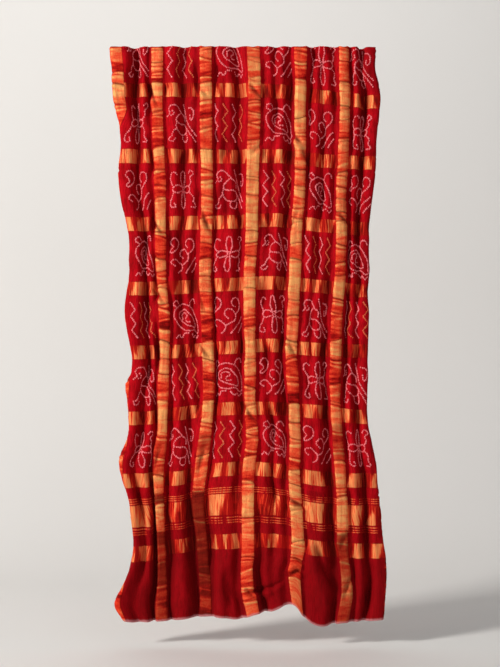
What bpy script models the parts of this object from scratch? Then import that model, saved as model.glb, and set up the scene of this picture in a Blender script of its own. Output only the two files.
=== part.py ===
"""Bandhani cloth: one sheet of red silk with woven gold stripes, hanging in upright folds.

The cloth is a single piece. Seven gold stripes run down it and share it into six columns.
Most stripes ride on the crests of the folds, and the red cloth between two stripes is wider
than the gap that it spans, so it falls back into valleys. Each level of the cloth is worked out
from three tables: the outline, the places of the stripes, and the folds of each column. How far
the folds of a column fall back is then solved, so that every section keeps the cloth's own width.

Metres, +Z up. X runs across the cloth, its face looks along -Y, and the origin is the middle of
the top edge, from which the cloth hangs.
"""
import bmesh
import bpy
import math
import numpy as np

# Sizes of the woven cloth, laid flat
STRIPE_PITCH = 0.148
SELVEDGE = 0.016
COLUMNS = ("A", "B", "C", "D", "E", "F")
FLAT_WIDTH = len(COLUMNS) * STRIPE_PITCH + 2 * SELVEDGE
THICKNESS = 0.002

# Sizes of the cloth as it hangs
HANGING_HEIGHT = 1.410
EDGE_ROLL_RADIUS = 0.007
EDGE_ROLL_ANGLE = math.radians(98)
HEM_LIFT_REACH = 0.22
DEEPEST_FOLD = 0.12

# How finely the sheet is divided
ACROSS = 78
DOWN = 30
SAMPLES_PER_COLUMN = 60
SOLVING_STEPS = 30

# Outline, in millimetres: how far down, the left and right silhouettes, and the widths of cloth
# that turn back behind them
OUTLINE_COLUMNS = ("down", "left", "right", "left_turn", "right_turn")
OUTLINE = (
    (0, -338, 317, 8, 44),
    (115, -330, 328, 8, 40),
    (160, -321, 325, 14, 40),
    (190, -314, 320, 34, 42),
    (320, -315, 315, 38, 46),
    (415, -300, 301, 42, 52),
    (460, -291, 299, 44, 54),
    (560, -291, 299, 44, 54),
    (660, -300, 299, 38, 54),
    (765, -281, 296, 44, 54),
    (822, -297, 296, 30, 54),
    (865, -294, 296, 36, 54),
    (950, -292, 303, 40, 50),
    (1005, -313, 314, 28, 44),
    (1030, -313, 319, 30, 42),
    (1110, -291, 325, 42, 40),
    (1300, -293, 342, 42, 34),
    (1355, -319, 340, 28, 34),
    (1375, -323, 338, 26, 36),
    (1410, -302, 334, 32, 38),
)

# Stripes, in millimetres: how far down, where each inner stripe lies across, and how far back
# the left silhouette, the inner stripes and the right silhouette lie
STRIPE_COLUMNS = ("down", "across_1", "across_2", "across_3", "across_4", "across_5",
                  "back_0", "back_1", "back_2", "back_3", "back_4", "back_5", "back_6")
STRIPES = (
    (0, -221, -102, 15, 131, 239, 2, 2, 0, 3, 0, 4, 12),
    (175, -221, -100, 20, 130, 239, 6, 0, 3, 0, -2, 2, 8),
    (350, -214, -98, 13, 130, 232, 2, 3, 0, 2, 0, 5, 14),
    (525, -213, -102, 6, 118, 230, 4, 0, 4, -2, 2, 3, 12),
    (700, -201, -97, 7, 110, 218, 0, 4, 2, 0, -2, 6, 16),
    (875, -208, -94, 7, 114, 218, 4, -2, 5, -2, 0, 5, 12),
    (1050, -220, -115, 2, 115, 230, -4, 6, 8, -4, -3, 3, 10),
    (1225, -214, -110, 2, 124, 235, 0, 18, 28, -6, -5, 2, 14),
    (1410, -212, -103, 15, 123, 236, -6, 20, 32, -4, 0, 6, 8),
)

# Folds: the column, where each lies across it at the head, middle and foot of the cloth, as a
# share of the gap between the stripes, how far it falls back there beside the column's other
# folds, and its half width as a share of the gap. A negative share is a fold that comes forward.
FOLD_COLUMNS = ("column", "at_head", "at_middle", "at_foot",
                "back_head", "back_middle", "back_foot", "half_width")
FOLDS = (
    ("A", 0.50, 0.48, 0.40, 1.00, 1.00, 0.30, 0.28),
    ("A", 0.84, 0.82, 0.80, 0.35, 0.50, 1.00, 0.16),
    ("B", 0.22, 0.20, 0.20, 0.50, 0.75, 0.80, 0.19),
    ("B", 0.50, 0.50, 0.50, 0.00, 0.00, -1.00, 0.30),
    ("B", 0.60, 0.60, 0.84, 1.00, 1.00, 0.40, 0.26),
    ("C", 0.26, 0.18, 0.10, 0.60, 1.00, 0.10, 0.18),
    ("C", 0.40, 0.36, 0.32, 0.00, 0.00, -1.00, 0.26),
    ("C", 0.66, 0.74, 0.78, 1.00, 0.80, 0.60, 0.22),
    ("D", 0.38, 0.22, 0.32, 0.90, 0.70, 1.00, 0.20),
    ("D", 0.78, 0.68, 0.76, 1.00, 1.00, 0.35, 0.20),
    ("E", 0.30, 0.36, 0.22, 1.00, 0.80, 0.30, 0.20),
    ("E", 0.80, 0.74, 0.68, 0.70, 1.00, 1.20, 0.22),
    ("F", 0.26, 0.36, 0.24, 0.60, 1.00, 0.60, 0.22),
    ("F", 0.62, 0.66, 0.62, 1.00, 0.50, 1.00, 0.24),
)
FOLD_LEVELS = (0.0, 700.0, 1410.0)

# Hem, in millimetres: across the cloth, and how far the hem is lifted there
HEM_COLUMNS = ("across", "lift")
HEM = (
    (-340, 10),
    (-312, 8),
    (-285, 3),
    (-200, 2),
    (-120, 10),
    (-60, 12),
    (-25, 8),
    (22, 22),
    (69, 32),
    (100, 45),
    (118, 42),
    (135, 20),
    (152, 4),
    (240, 0),
    (300, 4),
    (345, 8),
)

RED_SILK = (0.50, 0.008, 0.012, 1.0)


def column_of(table, names, name):
    """One named column of a table, as an array of numbers."""
    place = names.index(name)
    return np.array([row[place] for row in table], dtype=float)


def smooth_curve(knots, values, at):
    """A smooth curve through the values at the knots, read at another place."""
    slopes = np.gradient(values, knots)
    first = np.clip(np.searchsorted(knots, at, side="right") - 1, 0, len(knots) - 2)
    gap = knots[first + 1] - knots[first]
    t = np.clip((at - knots[first]) / gap, 0.0, 1.0)
    rise = t * t * (3.0 - 2.0 * t)
    lead = t * (1.0 - t) ** 2
    trail = t * t * (t - 1.0)
    between = values[first] * (1.0 - rise) + values[first + 1] * rise
    return between + gap * (lead * slopes[first] + trail * slopes[first + 1])


def outline_at(down, name):
    """A column of the outline table at one level, in metres."""
    knots = column_of(OUTLINE, OUTLINE_COLUMNS, "down")
    values = column_of(OUTLINE, OUTLINE_COLUMNS, name)
    return float(smooth_curve(knots, values, down * 1000.0)) / 1000.0


def stripe_at(down, name):
    """A column of the stripe table at one level, in metres."""
    knots = column_of(STRIPES, STRIPE_COLUMNS, "down")
    values = column_of(STRIPES, STRIPE_COLUMNS, name)
    return float(smooth_curve(knots, values, down * 1000.0)) / 1000.0


def fold_dips(column, down, share):
    """How far a column's folds fall back at each share of its gap, before they are scaled."""
    dips = np.zeros_like(share)
    levels = np.array(FOLD_LEVELS)
    for row in FOLDS:
        fold = dict(zip(FOLD_COLUMNS, row))
        if fold["column"] != column:
            continue
        ats = np.array([fold["at_head"], fold["at_middle"], fold["at_foot"]])
        backs = np.array([fold["back_head"], fold["back_middle"], fold["back_foot"]])
        at = smooth_curve(levels, ats, down * 1000.0)
        back = smooth_curve(levels, backs, down * 1000.0)
        offset = np.clip((share - at) / fold["half_width"], -1.0, 1.0)
        dips += back * np.cos(offset * math.pi / 2) ** 2
    return dips


def path_length(x, y):
    """Length along a section."""
    return float(np.hypot(np.diff(x), np.diff(y)).sum())


def folded_column(x, base, dips, cloth):
    """The section of one column, its folds scaled until it uses up the cloth given to it."""
    low = 0.0
    high = DEEPEST_FOLD
    for _ in range(SOLVING_STEPS):
        depth = (low + high) / 2
        if path_length(x, base + depth * dips) < cloth:
            low = depth
        else:
            high = depth
    return base + low * dips


def edge_roll(turn, side):
    """The cloth that turns back behind a silhouette, from the silhouette outwards."""
    steps = np.linspace(0.0, turn, 16)
    angles = np.minimum(steps / EDGE_ROLL_RADIUS, EDGE_ROLL_ANGLE)
    middles = (angles[1:] + angles[:-1]) / 2
    stride = turn / (len(steps) - 1)
    across = np.cumsum(np.cos(middles)) * stride
    back = np.cumsum(np.sin(middles)) * stride
    reach = across.max()
    return side * (across - reach), back, reach


def section(down):
    """Across and back for points all along one level of the cloth, left edge to right edge."""
    left_turn = outline_at(down, "left_turn")
    right_turn = outline_at(down, "right_turn")
    left_x, left_back, left_reach = edge_roll(left_turn, -1)
    right_x, right_back, right_reach = edge_roll(right_turn, 1)
    left = outline_at(down, "left")
    right = outline_at(down, "right")
    inner = [stripe_at(down, f"across_{n}") for n in range(1, len(COLUMNS))]
    post_backs = np.array([stripe_at(down, f"back_{n}") for n in range(len(COLUMNS) + 1)])
    posts = np.array([left + left_reach] + inner + [right - right_reach])
    cloths = [STRIPE_PITCH] * len(COLUMNS)
    cloths[0] += SELVEDGE - left_turn
    cloths[-1] += SELVEDGE - right_turn
    xs = []
    ys = []
    share = np.linspace(0.0, 1.0, SAMPLES_PER_COLUMN)
    for number, column in enumerate(COLUMNS):
        x = posts[number] + share * (posts[number + 1] - posts[number])
        base = smooth_curve(posts, post_backs, x)
        y = folded_column(x, base, fold_dips(column, down, share), cloths[number])
        first = 0 if number == 0 else 1
        xs.append(x[first:])
        ys.append(y[first:])
    across = np.concatenate([(left + left_x)[::-1]] + xs + [right + right_x])
    back = np.concatenate([(post_backs[0] + left_back)[::-1]] + ys + [post_backs[-1] + right_back])
    return across, back


def hem_lift(across, down):
    """How far the foot of the cloth is lifted at one place."""
    lift = np.interp(across * 1000.0, *[column_of(HEM, HEM_COLUMNS, name) for name in HEM_COLUMNS])
    reach = np.clip((down - HANGING_HEIGHT + HEM_LIFT_REACH) / HEM_LIFT_REACH, 0.0, 1.0)
    return lift / 1000.0 * reach * reach * (3.0 - 2.0 * reach)


def level_points(down, shares):
    """The places of the sheet's points along one level."""
    across, back = section(down)
    lengths = np.concatenate([[0.0], np.cumsum(np.hypot(np.diff(across), np.diff(back)))])
    along = shares * lengths[-1]
    x = np.interp(along, lengths, across)
    y = np.interp(along, lengths, back)
    return np.stack([x, y, -down + hem_lift(x, down)], axis=1)


def clear_scene():
    """Remove everything that a new file starts with."""
    for item in list(bpy.data.objects):
        bpy.data.objects.remove(item, do_unlink=True)


def silk_material():
    """Deep red silk with a soft sheen."""
    material = bpy.data.materials.new("red_silk")
    material.use_nodes = True
    shader = material.node_tree.nodes["Principled BSDF"]
    shader.inputs["Base Color"].default_value = RED_SILK
    shader.inputs["Roughness"].default_value = 0.62
    shader.inputs["Metallic"].default_value = 0.0
    material.diffuse_color = RED_SILK
    return material


def hanging_sheet():
    """The cloth's middle surface, a grid with every level laid along its section."""
    grid = bmesh.new()
    bmesh.ops.create_grid(grid, x_segments=ACROSS, y_segments=DOWN, size=0.5)
    levels = {}
    for vert in grid.verts:
        levels.setdefault(round((0.5 - vert.co.y) * DOWN), []).append(vert)
    for level, verts in levels.items():
        shares = np.array([vert.co.x + 0.5 for vert in verts])
        for vert, place in zip(verts, level_points(HANGING_HEIGHT * level / DOWN, shares)):
            vert.co = place
    mesh = bpy.data.meshes.new("bandhani_sheet")
    grid.to_mesh(mesh)
    grid.free()
    mesh.shade_smooth()
    return mesh


def build():
    """Make the cloth and give it its thickness."""
    clear_scene()
    collection = bpy.data.collections.new("bandhani_cloth")
    bpy.context.scene.collection.children.link(collection)
    sheet = hanging_sheet()
    cloth = bpy.data.objects.new("bandhani_sheet", sheet)
    collection.objects.link(cloth)
    sheet.materials.append(silk_material())
    solidify = cloth.modifiers.new("thickness", "SOLIDIFY")
    solidify.thickness = THICKNESS
    solidify.offset = 0.0


build()
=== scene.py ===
"""Bandhani cloth: crinkled red silk with a woven gold grid and tied and dyed dots, hung in folds.

The cloth is one sheet. Every level of it is a folded section, worked out from tables of its
outline, its stripes and its folds, and kept to the cloth's own width. Soft creases are pressed
into that sheet, its weave is laid out in flat cloth measure, and the dots are set along lines
drawn in the same measure. Metres, +Z up, the face of the cloth looks along -Y.
"""

import math
from collections import namedtuple

import bpy
import numpy as np
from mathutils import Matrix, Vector


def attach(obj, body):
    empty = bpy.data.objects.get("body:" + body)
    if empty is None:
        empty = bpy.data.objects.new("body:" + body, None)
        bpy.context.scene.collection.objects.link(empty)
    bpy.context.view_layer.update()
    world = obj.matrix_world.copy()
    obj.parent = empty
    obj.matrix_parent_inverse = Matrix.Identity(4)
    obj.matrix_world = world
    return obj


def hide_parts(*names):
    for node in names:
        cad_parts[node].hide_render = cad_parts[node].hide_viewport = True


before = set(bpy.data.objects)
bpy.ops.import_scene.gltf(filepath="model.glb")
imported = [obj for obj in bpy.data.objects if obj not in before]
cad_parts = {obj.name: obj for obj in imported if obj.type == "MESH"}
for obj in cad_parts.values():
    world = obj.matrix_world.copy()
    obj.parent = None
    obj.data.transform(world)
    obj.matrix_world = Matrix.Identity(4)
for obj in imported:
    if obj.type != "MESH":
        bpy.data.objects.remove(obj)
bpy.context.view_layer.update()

# The woven cloth, laid flat
STRIPE_PITCH = 0.148
STRIPE_WIDTH = 0.031
SELVEDGE = 0.016
COLUMNS = "ABCDEF"
FLAT_WIDTH = len(COLUMNS) * STRIPE_PITCH + 2 * SELVEDGE
BAND_PITCH = 0.162
BAND_HEIGHT = 0.034
FIRST_BAND = 0.107
BAND_COUNT = 8
BORDER_MIDDLE = 1.160
BORDER_HEIGHT = 0.046
PINSTRIPES = (-0.037, -0.032, -0.027, 0.028, 0.034, 0.039)
PINSTRIPE_HEIGHT = 0.0026

# The hanging cloth
HANGING_HEIGHT = 1.410
MILLIMETRES = 1000.0
EDGE_ROLL_RADIUS = 0.007
EDGE_ROLL_ANGLE = math.radians(98)
HEM_LIFT_REACH = 0.22
HEM_ROLL_RADIUS = 0.0016
HEM_ROLL_ANGLES = tuple(math.radians(angle) for angle in (60.0, 120.0, 180.0))
HEM_TURN = 0.007
DEEPEST_FOLD = 0.12
TIGHT_ROUNDING = 0.10
LOOSE_ROUNDING = 0.48
STRIPE_REST = 0.14

# How finely the sheet is divided
ACROSS = 180
DOWN = 545
SECTIONS = 220
SAMPLES_PER_COLUMN = 60
SOLVING_STEPS = 26
BAKE_MARGIN = 0.004

# Outline, in millimetres: how far down, the left and right silhouettes, and the widths of cloth
# that turn back behind them
Outline = namedtuple("Outline", "down left right left_turn right_turn")
OUTLINE = (
    Outline(0, -338, 317, 8, 44),
    Outline(50, -333, 315, 8, 44),
    Outline(115, -330, 328, 8, 40),
    Outline(160, -321, 325, 14, 40),
    Outline(190, -314, 320, 34, 42),
    Outline(320, -315, 315, 38, 46),
    Outline(375, -309, 305, 38, 50),
    Outline(415, -300, 301, 42, 52),
    Outline(460, -291, 299, 44, 54),
    Outline(560, -291, 299, 44, 54),
    Outline(660, -300, 299, 38, 54),
    Outline(720, -289, 297, 42, 54),
    Outline(765, -281, 296, 44, 54),
    Outline(800, -285, 296, 42, 54),
    Outline(822, -297, 296, 30, 54),
    Outline(865, -294, 296, 36, 54),
    Outline(950, -292, 303, 40, 50),
    Outline(985, -303, 309, 32, 46),
    Outline(1005, -313, 314, 28, 44),
    Outline(1030, -313, 319, 30, 42),
    Outline(1075, -301, 322, 38, 42),
    Outline(1110, -291, 325, 42, 40),
    Outline(1300, -293, 342, 42, 34),
    Outline(1328, -304, 342, 36, 34),
    Outline(1355, -319, 340, 28, 34),
    Outline(1375, -323, 338, 26, 36),
    Outline(1398, -312, 336, 28, 36),
    Outline(1410, -302, 334, 32, 38),
)

# Stripes, in millimetres: how far down, where each inner stripe lies across, and how far back
# the left silhouette, the inner stripes and the right silhouette lie
Stripes = namedtuple("Stripes", "down across back")
STRIPES = (
    Stripes(0, (-221, -102, 15, 131, 239), (2, 2, 0, 3, 0, 4, 12)),
    Stripes(115, (-222, -101, 19, 130, 241), (4, 0, 2, 0, 0, 2, 8)),
    Stripes(230, (-219, -100, 16, 130, 239), (5, 2, 2, 0, 1, 2, 10)),
    Stripes(350, (-214, -98, 13, 130, 232), (2, 3, 0, 2, 0, 5, 14)),
    Stripes(450, (-213, -99, 12, 120, 233), (3, 0, 3, -1, 2, 2, 12)),
    Stripes(560, (-212, -102, 6, 117, 229), (4, 1, 3, -2, 0, 4, 13)),
    Stripes(640, (-204, -99, 5, 113, 221), (2, 4, 4, 0, 0, 6, 15)),
    Stripes(730, (-203, -95, 8, 108, 218), (0, 3, 1, 0, -2, 4, 16)),
    Stripes(875, (-208, -94, 7, 114, 218), (4, -2, 5, -2, 0, 5, 12)),
    Stripes(960, (-211, -103, 12, 117, 224), (-2, 2, 4, -3, -2, 3, 11)),
    Stripes(1050, (-220, -115, 2, 115, 230), (-4, 8, 10, -4, -3, 2, 10)),
    Stripes(1110, (-219, -122, 2, 119, 234), (-2, 13, 20, -5, -4, 0, 12)),
    Stripes(1225, (-214, -110, 2, 124, 235), (0, 20, 30, -6, -5, 2, 14)),
    Stripes(1330, (-212, -104, 1, 117, 246), (-4, 22, 32, -5, 0, 3, 10)),
    Stripes(1410, (-212, -103, 15, 123, 234), (-6, 22, 32, -4, 0, 5, 8)),
)

# Folds of each column: where each lies across it, as a share of the gap between the stripes, and
# how far it falls back beside the column's other folds, at five levels, then its half width as
# a share of the gap. A negative share is a fold that comes forward.
Fold = namedtuple("Fold", "column at back width")
FOLD_LEVELS = (0, 350, 700, 1050, 1410)
FOLDS = (
    Fold("A", (0.52, 0.42, 0.50, 0.30, 0.36), (1.00, 1.00, 0.90, 0.60, 0.30), 0.22),
    Fold("A", (0.85, 0.80, 0.78, 0.80, 0.80), (0.45, 0.50, 0.50, 0.70, 1.00), 0.14),
    Fold("B", (0.15, 0.20, 0.14, 0.24, 0.20), (0.35, 0.50, 0.60, 0.70, 0.90), 0.14),
    Fold("B", (0.52, 0.50, 0.50, 0.50, 0.50), (0.00, 0.00, 0.00, -0.3, -1.00), 0.30),
    Fold("B", (0.56, 0.50, 0.42, 0.72, 0.84), (1.00, 1.00, 0.70, 0.90, 0.60), 0.19),
    Fold("B", (0.84, 0.82, 0.68, 0.90, 0.90), (0.40, 0.45, 0.80, 0.10, 0.00), 0.14),
    Fold("C", (0.18, 0.16, 0.14, 0.18, 0.12), (0.50, 0.55, 0.90, 0.80, 0.30), 0.13),
    Fold("C", (0.40, 0.42, 0.42, 0.42, 0.34), (0.30, 0.40, 0.00, -0.2, -1.00), 0.22),
    Fold("C", (0.64, 0.70, 0.78, 0.80, 0.78), (1.00, 0.90, 0.80, 0.80, 0.60), 0.18),
    Fold("D", (0.22, 0.20, 0.20, 0.20, 0.26), (0.40, 0.40, 0.50, 0.40, 1.20), 0.15),
    Fold("D", (0.46, 0.42, 0.36, 0.53, 0.50), (0.80, 0.50, 0.60, 0.70, 0.10), 0.15),
    Fold("D", (0.80, 0.76, 0.76, 0.80, 0.80), (0.90, 1.00, 1.00, 0.60, 0.40), 0.18),
    Fold("E", (0.27, 0.16, 0.20, 0.18, 0.14), (1.00, 0.60, 0.50, 0.40, 0.40), 0.15),
    Fold("E", (0.50, 0.52, 0.42, 0.42, 0.40), (0.30, 0.90, 0.60, 0.10, 0.00), 0.15),
    Fold("E", (0.76, 0.82, 0.74, 0.74, 0.78), (0.80, 0.50, 1.00, 1.10, 1.20), 0.20),
    Fold("F", (0.18, 0.26, 0.34, 0.20, 0.24), (0.60, 0.60, 1.00, 0.50, 0.60), 0.18),
    Fold("F", (0.58, 0.62, 0.70, 0.66, 0.58), (1.00, 1.00, 0.50, 1.00, 0.90), 0.20),
)

# Bands, in millimetres: how far down the middle of each woven band hangs in columns A to F, and
# the place of the wide border band among them
Band = namedtuple("Band", "name woven hangs")
BANDS = tuple(
    Band(name, (FIRST_BAND + BAND_PITCH * turn) * MILLIMETRES, hangs)
    for turn, (name, hangs) in enumerate((
        ("first", (105, 105, 105, 109, 122, 134)),
        ("second", (267, 267, 268, 268, 278, 283)),
        ("third", (434, 431, 429, 424, 437, 445)),
        ("fourth", (592, 588, 582, 578, 586, 597)),
        ("fifth", (748, 745, 736, 731, 741, 745)),
        ("sixth", (910, 897, 886, 886, 894, 907)),
        ("seventh", (1062, 1056, 1034, 1036, 1058, 1063)),
        ("eighth", (1243, 1225, 1213, 1210, 1229, 1237)),
    ))
)

# Glints, painted highlights in millimetres across: where the gold of each band faces the light,
# and how brightly
GLINTS = {
    "first": (
        (-316, -299, 1), (-262, -250, 1), (-196, -167, 1), (-135, -127, 0.6), (-74, -64, 1),
        (-54, -34, 1), (-20, -2, 1), (32, 42, 0.6), (76, 93, 0.6), (181, 196, 1),
        (262, 279, 1), (294, 311, 1),
    ),
    "second": (
        (-311, -270, 1), (-255, -243, 1), (-186, -164, 1), (-142, -130, 1), (-69, -56, 1),
        (-39, -24, 1), (-10, 0, 1), (37, 49, 1), (69, 86, 1), (172, 208, 0.6),
        (252, 272, 1), (287, 301, 1),
    ),
    "third": (
        (-299, -282, 1), (-267, -243, 1), (-189, -167, 1), (-147, -120, 1), (-83, -61, 1),
        (-44, -27, 1), (-17, -10, 1), (34, 44, 1), (61, 86, 1), (147, 179, 1),
        (196, 211, 1), (260, 274, 0.6),
    ),
    "fourth": (
        (-282, -250, 1), (-238, -225, 1), (-172, -142, 1), (-78, -64, 1), (-44, -10, 1),
        (22, 61, 1), (74, 91, 1), (135, 147, 1), (162, 176, 1), (186, 196, 1),
        (245, 250, 1), (270, 277, 1), (282, 287, 0.6),
    ),
    "fifth": (
        (-270, -252, 1), (-240, -230, 1), (-181, -167, 1), (-152, -140, 0.6), (-125, -105, 1),
        (-69, -56, 0.6), (-54, -27, 1), (22, 37, 1), (54, 74, 1), (130, 149, 1),
        (159, 176, 1), (260, 272, 1),
    ),
    "sixth": (
        (-289, -262, 1), (-243, -230, 1), (-162, -149, 1), (-137, -125, 1), (-61, -34, 1),
        (22, 37, 1), (54, 66, 1), (140, 164, 1), (176, 181, 1), (235, 250, 1),
        (270, 287, 1),
    ),
    "seventh": (
        (-311, -289, 1), (-274, -238, 1), (-179, -157, 1), (-78, -66, 1), (-47, -32, 1),
        (20, 56, 1), (69, 78, 1), (140, 184, 1), (250, 284, 1), (309, 318, 1),
    ),
    "border": (
        (-287, -240, 1), (-185, -172, 0.6), (-91, -61, 1), (64, 74, 1), (142, 184, 1),
        (221, 277, 1), (306, 314, 1),
    ),
    "eighth": (
        (-287, -277, 1), (-262, -245, 1), (-169, -149, 0.6), (-83, -76, 1), (-56, -49, 1),
        (-37, -22, 1), (51, 74, 1), (157, 184, 1), (262, 282, 1), (309, 326, 1),
    ),
}

# Hem, in millimetres: across the cloth, and how far the hem is lifted there
Hem = namedtuple("Hem", "across lift")
HEM = (
    Hem(-340, 10), Hem(-312, 8), Hem(-285, 3), Hem(-200, 2), Hem(-120, 10), Hem(-60, 12),
    Hem(-25, 8), Hem(22, 22), Hem(69, 32), Hem(100, 45), Hem(118, 42), Hem(135, 20),
    Hem(152, 4), Hem(240, 0), Hem(300, 4), Hem(345, 8),
)

# Tones of the gold down each stripe, 0 for dull red and 1 for pale gold, partly the weave's own
# red and gold and partly painted light, pale where a facet faces the light: the level in
# millimetres from which each tone starts, where a crease crosses the stripe
TONES = {
    0: ((0, 0.75), (60, 0.7), (90, 0.9), (140, 0.65), (300, 0.6), (820, 0.65), (1000, 0.6)),
    1: ((0, 0.75), (39, 0.8), (62, 0.5), (86, 0.95), (159, 0.65), (194, 0.6), (245, 0.95),
        (300, 0.65), (338, 0.55), (368, 0.9), (453, 0.6), (519, 0.9), (551, 0.65), (580, 0.9),
        (630, 0.55), (690, 0.75), (720, 0.95), (764, 0.85), (801, 0.8), (865, 0.95),
        (956, 0.6), (1005, 0.6), (1049, 0.76), (1098, 0.65),
        (1121, 0.78), (1192, 0.6), (1262, 0.58), (1321, 0.6)),
    2: ((0, 0.8), (27, 0.75), (71, 0.6), (86, 0.95), (130, 0.65), (174, 0.7), (198, 0.65),
        (250, 0.95), (300, 0.7), (326, 0.8), (365, 0.8), (415, 0.9), (480, 0.65), (517, 0.85),
        (561, 0.9), (600, 0.7), (650, 0.55), (720, 0.95), (766, 0.8), (816, 0.6), (865, 0.95),
        (921, 0.75), (956, 0.65), (1000, 0.75), (1085, 0.58), (1160, 0.52), (1300, 0.6)),
    3: ((0, 0.8), (25, 0.95), (74, 0.9), (130, 0.65), (160, 0.8), (181, 0.6), (228, 0.95),
        (318, 0.95), (363, 1.0), (450, 0.9), (480, 0.6), (512, 0.95), (590, 1.0), (659, 0.55),
        (684, 0.95), (764, 0.9), (806, 0.55), (831, 0.85), (877, 0.8), (930, 0.68), (950, 0.66),
        (1000, 0.8), (1060, 0.82), (1152, 0.76), (1250, 0.65), (1330, 0.7), (1370, 0.76)),
    4: ((0, 0.6), (37, 0.55), (79, 1.0), (174, 0.95), (211, 0.85), (300, 0.8), (341, 0.9),
        (395, 0.7), (420, 0.95), (480, 0.7), (519, 1.0), (620, 0.85), (657, 0.8), (720, 0.95),
        (762, 0.55), (820, 0.5), (872, 0.95), (920, 0.9), (960, 0.75), (1005, 0.55),
        (1036, 0.9), (1071, 0.9), (1122, 1.0), (1210, 0.85), (1262, 0.6), (1325, 0.9)),
    5: ((0, 0.8), (35, 0.7), (86, 1.0), (145, 0.95), (179, 0.75), (223, 0.85), (306, 0.9),
        (343, 0.75), (372, 0.95), (404, 0.75), (425, 1.0), (485, 0.8), (527, 0.75), (560, 0.9),
        (617, 0.6), (652, 0.7), (718, 0.95), (767, 0.55), (825, 0.7), (870, 0.8), (943, 0.6),
        (980, 0.6), (1012, 0.85), (1080, 0.8), (1100, 0.95), (1185, 0.7), (1260, 0.72)),
    6: ((0, 0.6), (300, 0.5), (700, 0.6), (1100, 0.5)),
}

STRIPE_CREASE_DEPTH = 0.0008
SECOND_CREASE_CHANCE = 0.55

# Shade on the stripes that lie back between the folds, in millimetres down: the stripe, where
# the shade starts and ends, and how dark it is
Shade = namedtuple("Shade", "stripe start end depth")
SHADES = (
    Shade(1, 963, 1045, 0.3), Shade(1, 1096, 1120, 0.9), Shade(1, 1190, 1222, 0.9),
    Shade(1, 1222, 1262, 0.6), Shade(1, 1262, 1322, 0.9), Shade(1, 1322, 1420, 0.6),
    Shade(2, 949, 990, 0.5), Shade(2, 1088, 1330, 0.9), Shade(2, 1330, 1420, 0.6),
    Shade(5, 925, 1006, 0.4), Shade(5, 1190, 1240, 0.75), Shade(5, 1240, 1420, 0.6),
)

# Creases pressed across the folds where stripes and bands cross, in millimetres: across and
# down at both ends, how deep, and how wide. A negative depth is a ridge.
Crease = namedtuple("Crease", "across_0 down_0 across_1 down_1 depth width")
CREASES = (
    Crease(-243, 90, -216, 150, 4.5, 5),
    Crease(-238, 250, -224, 318, 3.5, 5),
    Crease(-230, 428, -198, 464, 4.5, 5),
    Crease(-118, 92, -92, 124, 2.5, 5),
    Crease(-113, 392, -84, 462, 5.5, 5),
    Crease(4, 84, 40, 128, 4.5, 5),
    Crease(8, 262, 38, 232, 3.5, 5),
    Crease(110, 211, 138, 236, 5.0, 5),
    Crease(138, 236, 146, 284, 4.0, 5),
    Crease(128, 398, 100, 455, 3.5, 5),
    Crease(220, 398, 254, 436, 4.5, 5),
    Crease(-236, 584, -200, 630, 4.5, 5),
    Crease(-124, 586, -100, 650, 4.0, 5),
    Crease(-124, 722, -86, 764, 4.5, 5),
    Crease(-8, 876, 26, 922, 5.0, 5),
    Crease(100, 716, 128, 770, 4.0, 5),
    Crease(-205, 965, -234, 1058, 4.5, 6),
    Crease(-95, 962, -124, 1058, 4.5, 6),
    Crease(96, 1100, 146, 1127, 5.5, 5),
    Crease(258, 1176, 226, 1240, 4.5, 6),
    Crease(112, 1258, 144, 1268, 4.5, 5),
    Crease(138, 1288, 102, 1332, 7.0, 6),
    Crease(-8, 1324, 24, 1374, 4.5, 5),
    Crease(-16, 1350, 92, 1338, 7.0, 7),
    Crease(264, 1290, 236, 1360, 5.0, 6),
    Crease(146, 1216, 208, 1392, -10.0, 13),
    Crease(158, 1196, 236, 1352, 8.0, 9),
    Crease(-62, 1252, -40, 1392, 4.0, 8),
    Crease(-30, 1210, -24, 1330, 3.0, 7),
    Crease(60, 1250, 36, 1330, -3.5, 12),
    Crease(-170, 1262, -152, 1392, 3.5, 10),
    Crease(-262, 1250, -286, 1350, 3.5, 10),
    Crease(290, 1240, 296, 1380, 3.5, 8),
)

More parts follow.
